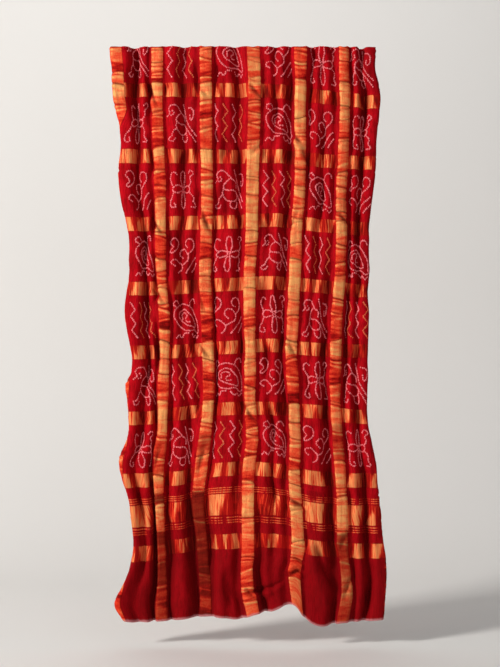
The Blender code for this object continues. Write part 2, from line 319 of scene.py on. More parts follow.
# Motifs, in half widths across and half heights up from the middle of a square. A closed line
# joins its ends. Their order steps one square to the right in every row.
Line = namedtuple("Line", "closed points")
MOTIF_ORDER = ("peahen", "waves", "mango", "branch", "flower")
MOTIF_HALF_WIDTH = 0.047
MOTIF_HALF_HEIGHT = 0.048
MOTIFS = {
    "peahen": (
        Line(False, ((-0.92, 0.34), (-0.76, 0.50), (-0.84, 0.74), (-0.52, 0.94), (-0.18, 0.68),
                     (-0.02, 0.50), (0.20, 0.34), (0.24, 0.10))),
        Line(False, ((-0.62, 0.62), (-0.56, 0.46), (-0.70, 0.38))),
        Line(False, ((-0.08, 0.54), (-0.36, 0.34), (-0.44, 0.08), (-0.18, -0.04), (0.14, -0.06),
                     (0.40, -0.30), (0.66, -0.66), (0.86, -0.98))),
        Line(False, ((-0.44, 0.04), (-0.46, -0.24), (-0.26, -0.48), (0.04, -0.60), (0.34, -0.50),
                     (0.42, -0.28))),
        Line(False, ((0.02, -0.62), (0.04, -0.88), (0.24, -0.98), (0.38, -0.76), (0.34, -0.56))),
        Line(False, ((-0.44, -0.26), (-0.62, -0.46), (-0.70, -0.70), (-0.88, -0.84),
                     (-0.66, -0.96), (-0.54, -0.80))),
        Line(False, ((0.12, 0.98), (0.26, 0.62), (0.38, 0.20), (0.60, -0.20), (0.94, -0.66))),
        Line(False, ((0.52, 0.80), (0.76, 0.74), (0.86, 0.42), (0.70, 0.16), (0.64, 0.40))),
    ),
    "branch": (
        Line(True, ((-0.70, 0.98), (-0.40, 0.86), (-0.34, 0.58), (-0.56, 0.32), (-0.86, 0.22),
                    (-0.70, 0.50), (-0.88, 0.76))),
        Line(False, ((0.40, 0.46), (0.22, 0.62), (0.34, 0.88), (0.64, 0.86), (0.76, 0.56),
                     (0.62, 0.28), (0.40, 0.06), (0.34, -0.18), (0.10, -0.38), (-0.16, -0.50))),
        Line(False, ((-0.04, -0.12), (-0.20, 0.06), (-0.10, 0.32), (0.16, 0.34), (0.36, 0.10))),
        Line(False, ((-0.66, -0.52), (-0.84, -0.34), (-0.60, -0.18), (-0.36, -0.32),
                     (-0.18, -0.52), (-0.24, -0.76), (-0.42, -0.90))),
        Line(False, ((0.84, -0.12), (0.62, -0.34), (0.36, -0.62), (0.08, -0.92))),
        Line(False, ((0.90, -0.46), (0.74, -0.66), (0.54, -0.90))),
    ),
    "flower": (
        Line(True, ((0.0, 0.97), (0.13, 0.72), (0.14, 0.38), (0.02, 0.12), (-0.13, 0.38),
                    (-0.13, 0.72))),
        Line(True, ((0.02, -0.97), (0.15, -0.72), (0.13, -0.38), (0.0, -0.12), (-0.12, -0.38),
                    (-0.14, -0.72))),
        Line(True, ((-0.04, 0.02), (-0.26, 0.20), (-0.54, 0.16), (-0.64, 0.0), (-0.52, -0.16),
                    (-0.26, -0.12))),
        Line(True, ((0.05, 0.0), (0.28, 0.16), (0.54, 0.18), (0.66, 0.02), (0.54, -0.14),
                    (0.28, -0.16))),
        Line(False, ((-0.58, 0.12), (-0.74, 0.36), (-0.82, 0.64), (-0.68, 0.88),
                     (-0.48, 0.78))),
        Line(False, ((0.60, 0.14), (0.74, 0.38), (0.68, 0.64), (0.84, 0.80), (0.66, 0.98),
                     (0.54, 0.84))),
        Line(False, ((-0.58, -0.14), (-0.68, -0.40), (-0.82, -0.64), (-0.80, -0.88),
                     (-0.56, -0.90), (-0.60, -0.72))),
        Line(False, ((0.60, -0.12), (0.76, -0.38), (0.72, -0.66), (0.82, -0.90),
                     (0.58, -0.92))),
    ),
    "mango": (
        Line(True, ((-0.45, 0.72), (0.05, 0.80), (0.52, 0.54), (0.80, 0.08), (0.88, -0.40),
                    (0.84, -0.76), (0.44, -0.56), (0.0, -0.58), (-0.36, -0.50), (-0.74, -0.08),
                    (-0.82, 0.36))),
        Line(True, ((-0.32, 0.42), (0.04, 0.52), (0.34, 0.24), (0.55, -0.12), (0.58, -0.42),
                    (0.28, -0.38), (-0.06, -0.26), (-0.40, -0.04), (-0.50, 0.22))),
        Line(False, ((-0.28, 0.04), (-0.26, 0.26), (0.0, 0.34), (0.14, 0.16), (-0.04, 0.06),
                     (-0.02, -0.10), (0.18, -0.12))),
        Line(False, ((-0.66, 0.66), (-0.84, 0.82), (-0.66, 1.0), (-0.48, 0.86))),
        Line(False, ((0.36, 0.76), (0.46, 0.98), (0.72, 1.02), (0.84, 0.82))),
        Line(False, ((-0.06, -0.70), (-0.30, -0.72), (-0.46, -0.94), (-0.64, -0.80),
                     (-0.80, -0.96))),
        Line(False, ((0.20, -0.76), (0.34, -0.94), (0.56, -0.86), (0.70, -1.02),
                     (0.86, -0.90))),
    ),
}

# Unevenness of the silk: how high its waves rise, their cells across and down, and their seed
Waves = namedtuple("Waves", "height across down seed")
FOLD_WAVES = Waves(0.0020, 0.021, 0.090, 11)
CRINKLE_WAVES = Waves(0.0012, 0.016, 0.026, 12)
PUCKER_WAVES = Waves(0.0020, 0.012, 0.045, 13)
DRAPE_WAVES = Waves(0.0040, 0.060, 0.120, 14)
DRAPE_SLANT = 0.25
PUFF_HEIGHT = 0.0020

# Grains of the silk and its gold: cells to a metre across and down, detail and roughness
Grain = namedtuple("Grain", "across down detail roughness")
LONG_FOLDS = Grain(150.0, 26.0, 3.0, 0.55)
SHORT_FOLDS = Grain(330.0, 190.0, 2.0, 0.5)
PATCHES = Grain(95.0, 22.0, 3.0, 0.6)
# grain of the painted shade streaks in the silk's fine crinkle
CRINKLE_SHADE_GRAIN = Grain(380.0, 46.0, 3.0, 0.6)
WEAR = Grain(75.0, 9.0, 3.0, 0.6)
CRUMPLES = Grain(24.0, 80.0, 2.0, 0.5)
FINE_ACROSS = Grain(30.0, 380.0, 2.0, 0.6)
FINE_DOWN = Grain(250.0, 15.0, 1.0, 0.5)
FINER_DOWN = Grain(620.0, 26.0, 2.0, 0.6)
FLECKS = Grain(260.0, 190.0, 2.0, 0.6)

# Colours, from dark to light where there are several, with the tone at which each one lies
SILK_REDS = (
    (0.30, (0.37, 0.0011, 0.0045, 1.0)),
    (0.52, (0.48, 0.0015, 0.0075, 1.0)),
    (0.75, (0.60, 0.0028, 0.0125, 1.0)),
)
PLAIN_END_RED = (0.20, 0.0010, 0.003, 1.0)
# painted shade in thin upright crinkle streaks of the silk
CRINKLE_SHADE_RED = (0.17, 0.0010, 0.0025, 1.0)
# painted shade in the folds of the silk
PAINTED_SHADE_RED = (0.080, 0.0006, 0.0012, 1.0)
WOVEN_GOLDS = (
    (0.00, (0.16, 0.0018, 0.0015, 1.0)),
    (0.18, (0.40, 0.0050, 0.0045, 1.0)),
    (0.38, (0.66, 0.029, 0.011, 1.0)),
    (0.58, (0.80, 0.084, 0.030, 1.0)),
    (0.80, (0.85, 0.212, 0.072, 1.0)),
    (1.00, (0.84, 0.350, 0.113, 1.0)),
)
# painted shade on the gold: in its creases, its hollows and on the shaded stripes
PAINTED_SHADE_GOLD = (0.12, 0.007, 0.003, 1.0)
HEM_PINK = (0.66, 0.27, 0.28, 1.0)
UNDYED = (0.97, 0.25, 0.27, 1.0)
UNDYED_MIDDLE = (0.60, 0.03, 0.045, 1.0)
ORANGE = (0.76, 0.15, 0.06, 1.0)
ORANGE_MIDDLE = (0.56, 0.03, 0.02, 1.0)

# Dots
DOT_RADIUS = 0.0024
DOT_RISE = 0.0009
DOT_SPACING = 0.0043
DOT_STRAY = 0.0006
DOT_SIDES = 6
DOT_LIFT = 0.00015
SMALLEST_DOT = 0.72
LARGEST_DOT = 1.12


def smooth_curve(knots, values, at):
    """A smooth curve through the values at the knots, read at other places."""
    knots = np.asarray(knots, dtype=float)
    values = np.asarray(values, dtype=float)
    slopes = np.gradient(values, knots)
    first = np.clip(np.searchsorted(knots, at, side="right") - 1, 0, len(knots) - 2)
    gap = knots[first + 1] - knots[first]
    t = (at - knots[first]) / gap
    inside = np.clip(t, 0.0, 1.0)
    rise = inside * inside * (3.0 - 2.0 * inside)
    lead = inside * (1.0 - inside) ** 2
    trail = inside * inside * (inside - 1.0)
    between = values[first] * (1.0 - rise) + values[first + 1] * rise
    beyond = (t - inside) * gap * np.where(t < 0.0, slopes[first], slopes[first + 1])
    return between + gap * (lead * slopes[first] + trail * slopes[first + 1]) + beyond


def millimetre_curve(knots, values, at):
    """A smooth curve through a table's millimetres, read and given in metres."""
    return smooth_curve(knots, values, at * MILLIMETRES) / MILLIMETRES


def soft_noise(x, y, waves):
    """Smooth random waves between -1 and 1, with cells of the given size."""
    draw = np.random.default_rng(waves.seed)
    column = x / waves.across
    row = y / waves.down
    column = column - column.min()
    row = row - row.min()
    values = draw.uniform(-1.0, 1.0, (int(row.max()) + 3, int(column.max()) + 3))
    c = column.astype(int)
    r = row.astype(int)
    u = column - c
    v = row - r
    u = u * u * (3.0 - 2.0 * u)
    v = v * v * (3.0 - 2.0 * v)
    top = values[r, c] * (1.0 - u) + values[r, c + 1] * u
    low = values[r + 1, c] * (1.0 - u) + values[r + 1, c + 1] * u
    return top * (1.0 - v) + low * v


def new_object(name, data):
    """A new object in the scene."""
    made = bpy.data.objects.new(name, data)
    bpy.context.scene.collection.objects.link(made)
    return made


def ease(low, high, value):
    """0 below the low value, 1 above the high one, and a smooth step between them."""
    t = np.clip((value - low) / (high - low), 0.0, 1.0)
    return t * t * (3.0 - 2.0 * t)


# ---- the folded sheet ---------------------------------------------------------------------------


def gather(woven_down):
    """1 where the bands pinch the folds together, falling to 0 in the middle of the squares."""
    pinch = np.cos((woven_down - FIRST_BAND) / BAND_PITCH * math.pi) ** 2
    return np.where(woven_down > BORDER_MIDDLE, 0.6, pinch)


def column_woven_down(column, down):
    """How far down the flat cloth the middle of a column is at a level."""
    number = COLUMNS.index(column)
    hangs = [band.hangs[number] for band in BANDS]
    woven = [band.woven for band in BANDS]
    return float(millimetre_curve(hangs, woven, down))


def fold_dips(column, down, share):
    """How far a column's folds fall back at each share of its gap, before they are scaled."""
    dips = np.zeros_like(share)
    pinched = float(gather(column_woven_down(column, down)))
    rounding = LOOSE_ROUNDING + (TIGHT_ROUNDING - LOOSE_ROUNDING) * pinched
    for number, fold in enumerate(FOLDS):
        if fold.column != column:
            continue
        sway = 0.016 * math.sin(down * 33.0 + number * 2.1)
        sway += 0.010 * math.sin(down * 79.0 + number * 4.7)
        swell = 1.0 + 0.24 * math.sin(down * 41.0 + number * 3.3)
        at = smooth_curve(FOLD_LEVELS, fold.at, down * MILLIMETRES) + sway
        back = smooth_curve(FOLD_LEVELS, fold.back, down * MILLIMETRES) * swell
        offset = np.clip((share - at) / (1.25 * fold.width), -1.0, 1.0)
        pinch = np.sqrt(offset ** 2 + rounding ** 2)
        dips += back * (1.0 - np.sin(np.minimum(pinch, 1.0) * math.pi / 2))
    from_stripe = np.minimum(share, 1.0 - share)
    return dips * ease(STRIPE_REST - 0.045, STRIPE_REST + 0.045, from_stripe)


def path_length(x, y):
    """Length along a section."""
    return float(np.hypot(np.diff(x), np.diff(y)).sum())


def folded_column(x, base, dips, cloth):
    """The section of one column, its folds scaled until it uses up the cloth given to it."""
    low = 0.0
    high = DEEPEST_FOLD
    for _ in range(SOLVING_STEPS):
        depth = (low + high) / 2
        if path_length(x, base + depth * dips) < cloth:
            low = depth
        else:
            high = depth
    return base + low * dips


def edge_roll(turn, side):
    """The cloth that turns back behind a silhouette, from the silhouette outwards."""
    steps = np.linspace(0.0, turn, 16)
    angles = np.minimum(steps / EDGE_ROLL_RADIUS, EDGE_ROLL_ANGLE)
    middles = (angles[1:] + angles[:-1]) / 2
    stride = turn / (len(steps) - 1)
    across = np.cumsum(np.cos(middles)) * stride
    back = np.cumsum(np.sin(middles)) * stride
    reach = across.max()
    return side * (across - reach), back, reach


def section(down):
    """Points all along one level of the cloth: across, back, and how far the folds fall back."""
    outline_downs = [row.down for row in OUTLINE]
    left, right, left_turn, right_turn = (
        float(millimetre_curve(outline_downs, [getattr(row, name) for row in OUTLINE], down))
        for name in ("left", "right", "left_turn", "right_turn")
    )
    stripe_downs = [row.down for row in STRIPES]
    inner = [
        float(millimetre_curve(stripe_downs, [row.across[n] for row in STRIPES], down))
        for n in range(len(COLUMNS) - 1)
    ]
    post_backs = np.array([
        float(millimetre_curve(stripe_downs, [row.back[n] for row in STRIPES], down))
        for n in range(len(COLUMNS) + 1)
    ])
    left_x, left_back, left_reach = edge_roll(left_turn, -1)
    right_x, right_back, right_reach = edge_roll(right_turn, 1)
    posts = np.array([left + left_reach] + inner + [right - right_reach])
    cloths = [STRIPE_PITCH] * len(COLUMNS)
    cloths[0] += SELVEDGE - left_turn
    cloths[-1] += SELVEDGE - right_turn
    xs = []
    ys = []
    dips = []
    share = np.linspace(0.0, 1.0, SAMPLES_PER_COLUMN)
    for number, column in enumerate(COLUMNS):
        x = posts[number] + share * (posts[number + 1] - posts[number])
        base = smooth_curve(posts, post_backs, x)
        y = folded_column(x, base, fold_dips(column, down, share), cloths[number])
        first = 0 if number == 0 else 1
        xs.append(x[first:])
        ys.append(y[first:])
        dips.append((y - base)[first:])
    across = np.concatenate([(left + left_x)[::-1]] + xs + [right + right_x])
    back = np.concatenate([(post_backs[0] + left_back)[::-1]] + ys + [post_backs[-1] + right_back])
    dip = np.concatenate([left_back[::-1]] + dips + [right_back])
    return across, back, dip


def hem_lift(across, down):
    """How far the foot of the cloth is lifted at each place."""
    lift = millimetre_curve([row.across for row in HEM], [row.lift for row in HEM], across)
    return lift * ease(HANGING_HEIGHT - HEM_LIFT_REACH, HANGING_HEIGHT, down)


def folded_grid():
    """Where every point of the sheet hangs, how far back it falls, and its flat place."""
    woven_across = np.linspace(0.0, FLAT_WIDTH, ACROSS + 1)
    levels = np.linspace(0.0, HANGING_HEIGHT, SECTIONS)
    sections = np.empty((3, SECTIONS, ACROSS + 1))
    for row, level in enumerate(levels):
        points = section(level)
        steps = np.hypot(np.diff(points[0]), np.diff(points[1]))
        lengths = np.concatenate([[0.0], np.cumsum(steps)])
        along = woven_across * lengths[-1] / FLAT_WIDTH
        for kind in range(3):
            sections[kind, row] = np.interp(along, lengths, points[kind])
    rows = np.linspace(0.0, HANGING_HEIGHT, DOWN + 1)
    places = np.empty((DOWN + 1, ACROSS + 1, 3))
    dip = np.empty((DOWN + 1, ACROSS + 1))
    for column in range(ACROSS + 1):
        places[:, column, 0] = np.interp(rows, levels, sections[0, :, column])
        places[:, column, 1] = np.interp(rows, levels, sections[1, :, column])
        dip[:, column] = np.interp(rows, levels, sections[2, :, column])
    down = np.repeat(rows[:, None], ACROSS + 1, axis=1)
    places[:, :, 2] = hem_lift(places[:, :, 0], down) - down
    woven_down = np.empty_like(down)
    middles = SELVEDGE + STRIPE_PITCH * (np.arange(len(COLUMNS)) + 0.5)
    woven = [0.0] + [band.woven / MILLIMETRES for band in BANDS]
    for column, place in enumerate(woven_across):
        hangs = [
            float(smooth_curve(middles, band.hangs, np.clip(place, middles[0], middles[-1])))
            / MILLIMETRES
            for band in BANDS
        ]
        head = hangs[0] - FIRST_BAND
        woven_down[:, column] = smooth_curve([head] + hangs, woven, rows)
    return woven_across, down, places, dip, woven_down


def surface_normals(places):
    """The way the face of the sheet looks at every point."""
    along_rows = np.gradient(places, axis=0)
    along_columns = np.gradient(places, axis=1)
    normals = np.cross(along_rows, along_columns)
    return normals / np.linalg.norm(normals, axis=2, keepdims=True)


def stripe_masks(woven_across):
    """The nearest stripe to every column of points, and 1 on it, falling to 0 past its edges."""
    number = np.rint((woven_across - SELVEDGE) / STRIPE_PITCH).astype(int)
    offset = woven_across - SELVEDGE - number * STRIPE_PITCH
    on_stripe = 1.0 - ease(STRIPE_WIDTH / 2 - 0.001, STRIPE_WIDTH / 2 + 0.008, np.abs(offset))
    return number, offset, on_stripe


def stripe_marks(steps, draw):
    """Where each crease crosses one stripe, how deep it is, and the tone below it."""
    marks = [(start / MILLIMETRES, draw.uniform(1.8, 2.8), value) for start, value in steps]
    fill = []
    ends = [mark[0] for mark in marks] + [HANGING_HEIGHT]
    for start, end, value in zip(ends[:-1], ends[1:], [mark[2] for mark in marks]):
        at = start + draw.uniform(0.007, 0.011)
        if draw.random() < SECOND_CREASE_CHANCE and at < end - 0.006:
            fill.append((at, draw.uniform(1.0, 2.0), value))
        at += draw.uniform(0.012, 0.036)
        while at < end - 0.008:
            fill.append((at, draw.uniform(0.0, 0.9), value + draw.uniform(-0.24, 0.12)))
            at += draw.uniform(0.014, 0.044)
    return sorted(marks + fill)


def stripe_creases(woven_across, down):
    """Sharp little creases across the stripes, the tone between them with painted highlights, and
    where they lie, for bump and painted shade.
    """
    number, offset, on_stripe = stripe_masks(woven_across)
    relief = np.zeros_like(down)
    lines = np.zeros_like(down)
    tone = np.full_like(down, 0.6)
    for stripe, steps in TONES.items():
        draw = np.random.default_rng(40 + stripe)
        columns = np.where(number == stripe)[0]
        across = offset[columns][None, :]
        mask = on_stripe[columns][None, :]
        level = down[:, columns]
        for start, deep, value in stripe_marks(steps, draw):
            tilt = draw.uniform(-0.30, 0.30)
            bow = draw.uniform(-9.0, 9.0)
            line = start + tilt * across + bow * (across ** 2 - (STRIPE_WIDTH / 4) ** 2)
            away = level - line
            width = draw.uniform(0.0019, 0.0032)
            trough = np.exp(-((away / width) ** 2))
            ridge = np.exp(-(((away - 2.2 * width) / (1.1 * width)) ** 2))
            relief[:, columns] += mask * deep * STRIPE_CREASE_DEPTH * (0.4 * ridge - trough)
            # painted shade in the crease's trough
            mark = mask * trough * min(1.0, deep / 3.2)
            lines[:, columns] = np.maximum(lines[:, columns], mark)
            below = ease(-0.0015, 0.0015, away)
            fade = draw.uniform(0.006, 0.022)
            dull = draw.uniform(0.0, 0.38) * np.exp(-np.clip(away, 0.0, None) / fade)
            # a painted highlight on the lip just below the crease
            shine = draw.uniform(0.45, 1.0) * (1.15 - value) * ridge * min(1.0, deep)
            dulled = max(value - 0.20, 0.42) if value > 0.5 else value - 0.08
            seen = np.maximum(value - dull, dulled)
            tone[:, columns] = tone[:, columns] * (1.0 - below) + seen * below
            tone[:, columns] += shine
    return relief, lines, tone


def stripe_shade(woven_across, down):
    """How dark the shade on the stripes is at every point."""
    number, _, on_stripe = stripe_masks(woven_across)
    shade = np.zeros_like(down)
    for row in SHADES:
        within = ease(row.start / MILLIMETRES - 0.006, row.start / MILLIMETRES + 0.006, down)
        within = within * ease(row.end / MILLIMETRES + 0.006, row.end / MILLIMETRES - 0.006, down)
        shade += row.depth * within * (on_stripe * (number == row.stripe))[None, :]
    return shade


def band_glints(across, woven_down):
    """Painted highlight: how much the gold of the bands catches the light at every point."""
    draw = np.random.default_rng(61)
    middles = {band.name: band.woven / MILLIMETRES for band in BANDS}
    middles["border"] = BORDER_MIDDLE
    glint = np.zeros_like(across)
    for name, spans in GLINTS.items():
        from_middle = woven_down - middles[name]
        near = ease(0.032, 0.030, np.abs(from_middle))
        for left, right, strength in spans:
            lean, spread = draw.uniform(-0.22, 0.22, 2)
            start = left / MILLIMETRES + (lean - spread) * from_middle
            end = right / MILLIMETRES + (lean + spread) * from_middle
            inside = ease(-0.006, 0.003, across - start) * ease(-0.006, 0.003, end - across)
            glint = np.maximum(glint, strength * inside * near)
    return glint


def pressed_creases(places, down):
    """The slanting creases where stripes and bands cross, as troughs with a lip below them, and
    where the troughs lie, for bump and painted shade.
    """
    relief = np.zeros_like(down)
    lines = np.zeros_like(down)
    across = places[:, :, 0] * MILLIMETRES
    level = down * MILLIMETRES
    for crease in CREASES:
        run = np.array([crease.across_1 - crease.across_0, crease.down_1 - crease.down_0])
        length = float(np.hypot(*run))
        run = run / length
        from_start = (across - crease.across_0) * run[0] + (level - crease.down_0) * run[1]
        aside = (level - crease.down_0) * run[0] - (across - crease.across_0) * run[1]
        swell = np.sin(np.clip(from_start / length, 0.0, 1.0) * math.pi)
        aside = aside - crease.width * 0.6 * swell
        ends = swell ** 0.8
        trough = np.exp(-((aside / crease.width) ** 2)) * ends
        lip = np.exp(-(((aside - 2.0 * crease.width) / (1.6 * crease.width)) ** 2)) * ends
        relief += crease.depth / MILLIMETRES * (0.6 * lip - trough)
        # painted shade in the trough of each crease that sinks in
        if crease.depth > 0.0:
            lines = np.maximum(lines, trough * min(1.0, crease.depth / 5.5))
    return relief, lines


def rolled_edge(places, inward):
    """Rows that turn a narrow edge over to the back, from the edge row outwards."""
    normals = surface_normals(places[:2] if inward > 0 else places[-2:])
    edge = places[0] if inward > 0 else places[-1]
    beside = places[1] if inward > 0 else places[-2]
    normal = normals[0] if inward > 0 else normals[-1]
    outward = edge - beside
    outward = outward / np.linalg.norm(outward, axis=1, keepdims=True)
    rows = []
    for turn in HEM_ROLL_ANGLES:
        swing = outward * HEM_ROLL_RADIUS * math.sin(turn)
        rows.append(edge + swing - normal * HEM_ROLL_RADIUS * (1.0 - math.cos(turn)))
    rows.append(rows[-1] - outward * HEM_TURN)
    return np.array(rows)


def silk_relief(across, down, woven_down, on_stripe, plain_end, pinched):
    """The unevenness of the silk itself, and the waves that also steer the painted shade in its
    hollows.
    """
    fold_waves = soft_noise(across, down, FOLD_WAVES)
    crinkle = soft_noise(across, down, CRINKLE_WAVES)
    pucker = soft_noise(across, woven_down, PUCKER_WAVES)
    drape = soft_noise(across + DRAPE_SLANT * woven_down, woven_down, DRAPE_WAVES)
    puff = np.sin((woven_down - FIRST_BAND) / BAND_PITCH * math.pi) ** 2
    relief = FOLD_WAVES.height * fold_waves * (1.0 - 0.6 * on_stripe) * (1.0 - 0.8 * plain_end)
    relief += CRINKLE_WAVES.height * crinkle * (1.0 - 0.6 * plain_end)
    relief += PUCKER_WAVES.height * pucker * pinched
    relief += PUFF_HEIGHT * puff * (1.0 - plain_end) * (1.0 - 0.7 * on_stripe)
    relief += DRAPE_WAVES.height * drape * plain_end
    return relief, fold_waves, pucker


def shaded_hollows(places, dip, woven_down):
    """How much of the light the folds keep off every point, most where the bands pinch them."""
    # painted shade: how far the colour of the silk and the gold is darkened in the folds
    hollow = np.maximum(ease(0.004, 0.026, dip), ease(0.014, 0.036, places[:, :, 1]))
    near_border = ease(BORDER_MIDDLE - 0.12, BORDER_MIDDLE - 0.04, woven_down)
    return hollow * (0.50 + 0.50 * np.maximum(gather(woven_down), near_border))


def with_hems(values, head, foot):
    """Values of the sheet's rows, with its end rows repeated for the turned hems."""
    return np.concatenate([
        np.repeat(values[:1], len(head), axis=0), values,
        np.repeat(values[-1:], len(foot), axis=0),
    ])


def woven_down_with_hems(woven_down, head, foot):
    """How far down the flat cloth every row lies, turned hems and all."""
    steps = np.array([HEM_ROLL_RADIUS * turn for turn in HEM_ROLL_ANGLES])
    steps = np.append(steps, steps[-1] + HEM_TURN)
    flat_down = with_hems(woven_down, head, foot)
    flat_down[:len(head)] -= steps[::-1][:, None]
    flat_down[-len(foot):] += steps[:, None]
    return flat_down


def add_flat_maps(mesh, flat, corners):
    """The flat cloth in metres, for the weave, and the same spread over a square, for baking."""
    weave_map = mesh.uv_layers.new(name="flat_cloth")
    weave_map.data.foreach_set("uv", flat[corners].astype(np.float32).reshape(-1))
    low = flat.min(axis=0) - BAKE_MARGIN
    high = flat.max(axis=0) + BAKE_MARGIN
    bake_map = mesh.uv_layers.new(name="OFBake")
    spread = (flat - low) / (high - low)
    bake_map.data.foreach_set("uv", spread[corners].astype(np.float32).reshape(-1))
    mesh.uv_layers.active = weave_map


def sheet_mesh():
    """The whole sheet: folds, creases and crinkle, with its flat places and its tones."""
    woven_across, down, places, dip, woven_down = folded_grid()
    normals = surface_normals(places)
    across = np.repeat(woven_across[None, :], DOWN + 1, axis=0)
    crease_relief, crease_lines, stripe_tone = stripe_creases(woven_across, down)
    press_relief, press_lines = pressed_creases(places, down)
    on_stripe = np.repeat(stripe_masks(woven_across)[2][None, :], DOWN + 1, axis=0)
    plain_end = ease(BORDER_MIDDLE, BORDER_MIDDLE + 0.10, woven_down)
    pinched = gather(woven_down) * (1.0 - on_stripe) * (1.0 - 0.5 * plain_end)
    glint = band_glints(places[:, :, 0], woven_down)
    relief, fold_waves, pucker = silk_relief(
        across, down, woven_down, on_stripe, plain_end, pinched
    )
    places = places + normals * (relief + crease_relief + press_relief)[:, :, None]
    hollow = shaded_hollows(places, dip, woven_down)
    # painted shade: short dark strokes between the puckers where the bands pinch, and where the
    # fold waves fall back
    painted_pucker_shade = ease(0.15, 0.75, -pucker) * pinched * (1.0 - 0.7 * glint)
    hollow = np.maximum(hollow, 0.85 * painted_pucker_shade)
    painted_wave_shade = ease(0.25, 0.85, -fold_waves) * (1.0 - on_stripe) * (1.0 - glint)
    hollow = np.maximum(hollow, 0.60 * painted_wave_shade)
    # the stripes' tone darkened by painted shade in the folds, painted highlights on the bands,
    # the creases for bump and painted shade, and painted shade seen from the front and from the
    # back
    numbers = {
        "stripe_tone": stripe_tone * (1.0 - 0.20 * hollow),
        "glint": glint,
        "crease": np.maximum(crease_lines, press_lines),
        "hollow": hollow,
        "crest": ease(0.012, 0.0, dip),
        "shade": stripe_shade(woven_across, down),
        "to_hem": HANGING_HEIGHT - down,
    }
    head = rolled_edge(places, 1)[::-1]
    foot = rolled_edge(places, -1)
    places = np.concatenate([head, places, foot])
    flat_down = woven_down_with_hems(woven_down, head, foot)
    flat_across = np.repeat(woven_across[None, :], len(places), axis=0)
    flat = np.stack([flat_across.reshape(-1), flat_down.reshape(-1)], axis=1)
    index = np.arange(flat_down.size).reshape(flat_down.shape)
    quads = np.stack(
        [index[:-1, :-1], index[1:, :-1], index[1:, 1:], index[:-1, 1:]], axis=2
    ).reshape(-1, 4)
    mesh = bpy.data.meshes.new("bandhani_sheet")
    mesh.from_pydata(places.reshape(-1, 3).tolist(), [], quads.tolist())
    add_flat_maps(mesh, flat, quads.reshape(-1))
    for name, values in numbers.items():
        kept = np.clip(with_hems(values, head, foot), 0.0, 2.0).astype(np.float32)
        mesh.attributes.new(name, "FLOAT", "POINT").data.foreach_set("value", kept.reshape(-1))
    mesh.shade_smooth()
    return mesh


# ---- motif lines and dots -----------------------------------------------------------------------


def wave_lines(tint):
    """Upright zigzags, in turn pale and orange."""
    lines = []
    for number, across in enumerate((-0.80, -0.30, 0.22, 0.72)):
        if number % 2 != tint:
            continue
        points = [
            (across + (0.13 if step % 2 else -0.13), 0.96 - step * 0.385) for step in range(6)
        ]
        lines.append(Line(False, tuple(points)))
    return lines


def square_lines(motif, tint):
    """The lines of one motif in one dye: 0 is pale and 1 is orange."""
    if motif == "waves":
        return wave_lines(tint)
    return () if tint else MOTIFS[motif]


def motif_curves(name, tint):
    """Every motif line of one dye, drawn in flat cloth measure across the whole cloth."""
    curve = bpy.data.curves.new(name, "CURVE")
    curve.dimensions = "3D"
    curve.resolution_u = 8
    draw = np.random.default_rng(7)
    for row in range(BAND_COUNT - 1):
        for column in range(len(COLUMNS)):
            middle_across = SELVEDGE + STRIPE_PITCH * (column + 0.5)
            middle_down = FIRST_BAND + BAND_PITCH * (row - 0.5)
            shift = draw.uniform(-0.0025, 0.0025, 2)
            swell = draw.uniform(0.95, 1.05, 2)
            motif = MOTIF_ORDER[(column - row) % len(MOTIF_ORDER)]
            for line in square_lines(motif, tint):
                spline = curve.splines.new("BEZIER")
                spline.bezier_points.add(len(line.points) - 1)
                spline.use_cyclic_u = line.closed
                kind = "VECTOR" if motif == "waves" else "AUTO"
                for knot, (across, up) in zip(spline.bezier_points, line.points):
                    knot.co = (
                        middle_across + shift[0] + across * MOTIF_HALF_WIDTH * swell[0],
                        middle_down + shift[1] - up * MOTIF_HALF_HEIGHT * swell[1],
                        0.0,
                    )
                    knot.handle_left_type = kind
                    knot.handle_right_type = kind
    return new_object(name, curve)


def dot_mesh():
    """One tied dot: a small closed swelling through the silk, measured from middle to rim."""
    rings = ((0.0, 0.85), (0.58, 1.0), (1.0, 0.0), (0.58, -0.7), (0.0, -0.6))
    points = []
    measure = []
    for reach, rise in rings:
        for side in range(1 if reach == 0.0 else DOT_SIDES):
            angle = side / DOT_SIDES * math.tau
            points.append((
                reach * DOT_RADIUS * math.cos(angle),
                reach * DOT_RADIUS * math.sin(angle),
                rise * DOT_RISE,
            ))
            measure.append(reach)
    faces = []
    last = len(points) - 1
    for side in range(DOT_SIDES):
        after = (side + 1) % DOT_SIDES
        faces.append((0, 1 + side, 1 + after))
        for ring in range(2):
            upper = 1 + ring * DOT_SIDES
            lower = upper + DOT_SIDES
            faces.append((upper + side, lower + side, lower + after, upper + after))
        lowest = last - DOT_SIDES
        faces.append((lowest + side, last, lowest + after))
    mesh = bpy.data.meshes.new("tied_dot")
    mesh.from_pydata(points, [], faces)
    attribute = mesh.attributes.new("from_middle", "FLOAT", "POINT")
    attribute.data.foreach_set("value", measure)
    mesh.shade_smooth()
    return mesh


def kept_vector(tree, name):
    """A vector kept on the points or on the mesh, read by its name."""
    node = tree.nodes.new("GeometryNodeInputNamedAttribute")
    node.data_type = "FLOAT_VECTOR"
    node.inputs["Name"].default_value = name
    return node.outputs["Attribute"]


def keep_vector(tree, name, geometry, value):
    """The geometry, with a vector kept on it by name."""
    node = tree.nodes.new("GeometryNodeStoreNamedAttribute")
    node.data_type = "FLOAT_VECTOR"
    node.inputs["Name"].default_value = name
    tree.links.new(geometry, node.inputs["Geometry"])
    tree.links.new(value, node.inputs["Value"])
    return node.outputs["Geometry"]


